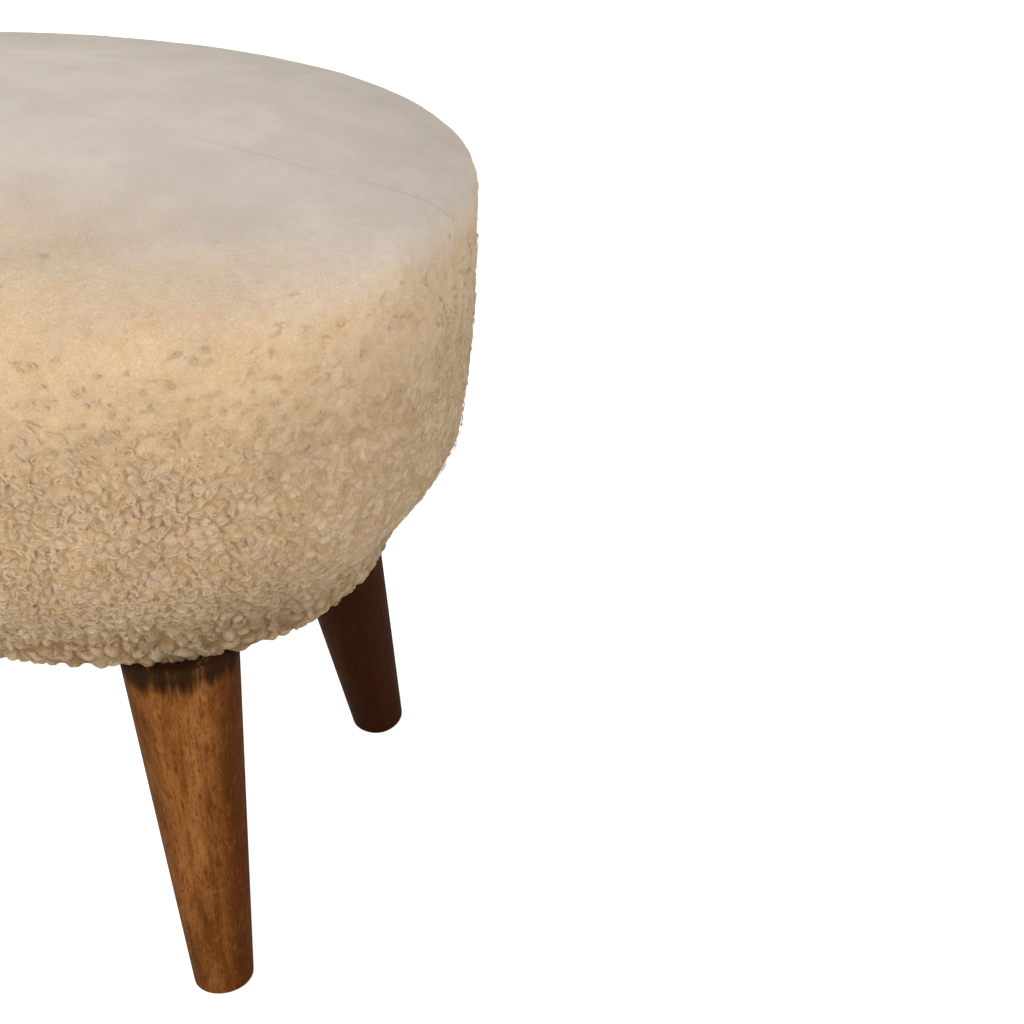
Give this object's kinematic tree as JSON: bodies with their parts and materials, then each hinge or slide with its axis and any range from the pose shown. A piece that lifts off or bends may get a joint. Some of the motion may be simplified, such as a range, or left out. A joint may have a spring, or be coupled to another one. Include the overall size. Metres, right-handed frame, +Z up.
{
  "type": "upholstered footstool",
  "caption": "Deep oval footstool with a padded seat in a curly cream pile cover, on splayed, tapered round wooden legs, for resting feet on or perching.",
  "frame": {"origin": "on the floor, under the middle of the seat", "axes": "+X along the seat's longer side, to the sitter's right; +Y across the seat, to the back; +Z up"},
  "size_m": [0.4372, 0.339, 0.421],
  "materials": {
    "seat_cover": "curly looped pile, warm cream, matt with a soft sheen",
    "legs": "stained solid hardwood, chestnut brown with darker streaks and open pores, satin"
  },
  "bodies": {
    "root": {"seat": "seat_cover", "leg_front_right": "legs", "leg_front_left": "legs", "leg_back_right": "legs", "leg_back_left": "legs"}
  },
  "joints": []
}
